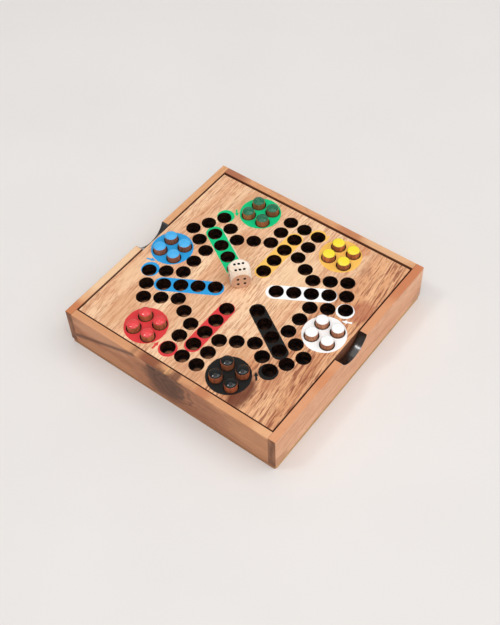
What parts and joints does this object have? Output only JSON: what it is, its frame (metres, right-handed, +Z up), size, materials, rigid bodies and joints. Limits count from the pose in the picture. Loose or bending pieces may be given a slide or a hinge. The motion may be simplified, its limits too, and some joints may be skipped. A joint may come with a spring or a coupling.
{
  "type": "ludo board box",
  "caption": "Square wooden game box with a lift-out peg board on top, painted star-shaped ludo track, coloured pegs, a wooden die, finger notches and storage space below.",
  "frame": {"origin": "centre of the box's underside, on the surface it stands on", "axes": "+Z up, +X from the left wall to the right wall (the walls with the finger notches), +Y from the front wall to the back wall"},
  "size_m": [0.191, 0.189, 0.0507],
  "materials": {
    "wall_wood": "oiled, satin",
    "base_wood": "plain plywood, lightly oiled",
    "ledge_wood": "bare, sawn",
    "board_wood": "oiled, satin, with painted track marks and scorched holes",
    "die_wood": "sanded smooth, black spots",
    "yellow_peg": "bare dowel with a glossy yellow painted top",
    "white_peg": "bare dowel with a glossy white painted top",
    "black_peg": "bare dowel with a glossy black painted top",
    "red_peg": "bare dowel with a glossy red painted top",
    "blue_peg": "bare dowel with a glossy blue painted top",
    "green_peg": "bare dowel with a glossy green painted top"
  },
  "bodies": {
    "case": {"base_panel": "base_wood", "wall_left": "wall_wood", "wall_right": "wall_wood", "wall_front": "wall_wood", "wall_back": "wall_wood", "ledge_left": "ledge_wood", "ledge_right": "ledge_wood", "ledge_front": "ledge_wood", "ledge_back": "ledge_wood"},
    "board": {"playing_board": "board_wood"},
    "die": {"die": "die_wood"},
    "yellow_peg_1": {"peg_yellow_1": "yellow_peg"},
    "yellow_peg_2": {"peg_yellow_2": "yellow_peg"},
    "yellow_peg_3": {"peg_yellow_3": "yellow_peg"},
    "yellow_peg_4": {"peg_yellow_4": "yellow_peg"},
    "white_peg_1": {"peg_white_1": "white_peg"},
    "white_peg_2": {"peg_white_2": "white_peg"},
    "white_peg_3": {"peg_white_3": "white_peg"},
    "white_peg_4": {"peg_white_4": "white_peg"},
    "black_peg_1": {"peg_black_1": "black_peg"},
    "black_peg_2": {"peg_black_2": "black_peg"},
    "black_peg_3": {"peg_black_3": "black_peg"},
    "black_peg_4": {"peg_black_4": "black_peg"},
    "red_peg_1": {"peg_red_1": "red_peg"},
    "red_peg_2": {"peg_red_2": "red_peg"},
    "red_peg_3": {"peg_red_3": "red_peg"},
    "red_peg_4": {"peg_red_4": "red_peg"},
    "blue_peg_1": {"peg_blue_1": "blue_peg"},
    "blue_peg_2": {"peg_blue_2": "blue_peg"},
    "blue_peg_3": {"peg_blue_3": "blue_peg"},
    "blue_peg_4": {"peg_blue_4": "blue_peg"},
    "green_peg_1": {"peg_green_1": "green_peg"},
    "green_peg_2": {"peg_green_2": "green_peg"},
    "green_peg_3": {"peg_green_3": "green_peg"},
    "green_peg_4": {"peg_green_4": "green_peg"}
  },
  "joints": [
    {"name": "board_lift", "type": "slide", "parent": "case", "child": "board", "axis": [0, 0, 1], "range_m": [0, 0.05]},
    {"name": "die_lift", "type": "slide", "parent": "board", "child": "die", "axis": [0, 0, 1], "range_m": [0, 0.04]},
    {"name": "yellow_peg_1_lift", "type": "slide", "parent": "board", "child": "yellow_peg_1", "axis": [0, 0, 1], "range_m": [0, 0.02]},
    {"name": "yellow_peg_2_lift", "type": "slide", "parent": "board", "child": "yellow_peg_2", "axis": [0, 0, 1], "range_m": [0, 0.02]},
    {"name": "yellow_peg_3_lift", "type": "slide", "parent": "board", "child": "yellow_peg_3", "axis": [0, 0, 1], "range_m": [0, 0.02]},
    {"name": "yellow_peg_4_lift", "type": "slide", "parent": "board", "child": "yellow_peg_4", "axis": [0, 0, 1], "range_m": [0, 0.02]},
    {"name": "white_peg_1_lift", "type": "slide", "parent": "board", "child": "white_peg_1", "axis": [0, 0, 1], "range_m": [0, 0.02]},
    {"name": "white_peg_2_lift", "type": "slide", "parent": "board", "child": "white_peg_2", "axis": [0, 0, 1], "range_m": [0, 0.02]},
    {"name": "white_peg_3_lift", "type": "slide", "parent": "board", "child": "white_peg_3", "axis": [0, 0, 1], "range_m": [0, 0.02]},
    {"name": "white_peg_4_lift", "type": "slide", "parent": "board", "child": "white_peg_4", "axis": [0, 0, 1], "range_m": [0, 0.02]},
    {"name": "black_peg_1_lift", "type": "slide", "parent": "board", "child": "black_peg_1", "axis": [0, 0, 1], "range_m": [0, 0.02]},
    {"name": "black_peg_2_lift", "type": "slide", "parent": "board", "child": "black_peg_2", "axis": [0, 0, 1], "range_m": [0, 0.02]},
    {"name": "black_peg_3_lift", "type": "slide", "parent": "board", "child": "black_peg_3", "axis": [0, 0, 1], "range_m": [0, 0.02]},
    {"name": "black_peg_4_lift", "type": "slide", "parent": "board", "child": "black_peg_4", "axis": [0, 0, 1], "range_m": [0, 0.02]},
    {"name": "red_peg_1_lift", "type": "slide", "parent": "board", "child": "red_peg_1", "axis": [0, 0, 1], "range_m": [0, 0.02]},
    {"name": "red_peg_2_lift", "type": "slide", "parent": "board", "child": "red_peg_2", "axis": [0, 0, 1], "range_m": [0, 0.02]},
    {"name": "red_peg_3_lift", "type": "slide", "parent": "board", "child": "red_peg_3", "axis": [0, 0, 1], "range_m": [0, 0.02]},
    {"name": "red_peg_4_lift", "type": "slide", "parent": "board", "child": "red_peg_4", "axis": [0, 0, 1], "range_m": [0, 0.02]},
    {"name": "blue_peg_1_lift", "type": "slide", "parent": "board", "child": "blue_peg_1", "axis": [0, 0, 1], "range_m": [0, 0.02]},
    {"name": "blue_peg_2_lift", "type": "slide", "parent": "board", "child": "blue_peg_2", "axis": [0, 0, 1], "range_m": [0, 0.02]},
    {"name": "blue_peg_3_lift", "type": "slide", "parent": "board", "child": "blue_peg_3", "axis": [0, 0, 1], "range_m": [0, 0.02]},
    {"name": "blue_peg_4_lift", "type": "slide", "parent": "board", "child": "blue_peg_4", "axis": [0, 0, 1], "range_m": [0, 0.02]},
    {"name": "green_peg_1_lift", "type": "slide", "parent": "board", "child": "green_peg_1", "axis": [0, 0, 1], "range_m": [0, 0.02]},
    {"name": "green_peg_2_lift", "type": "slide", "parent": "board", "child": "green_peg_2", "axis": [0, 0, 1], "range_m": [0, 0.02]},
    {"name": "green_peg_3_lift", "type": "slide", "parent": "board", "child": "green_peg_3", "axis": [0, 0, 1], "range_m": [0, 0.02]},
    {"name": "green_peg_4_lift", "type": "slide", "parent": "board", "child": "green_peg_4", "axis": [0, 0, 1], "range_m": [0, 0.02]}
  ]
}
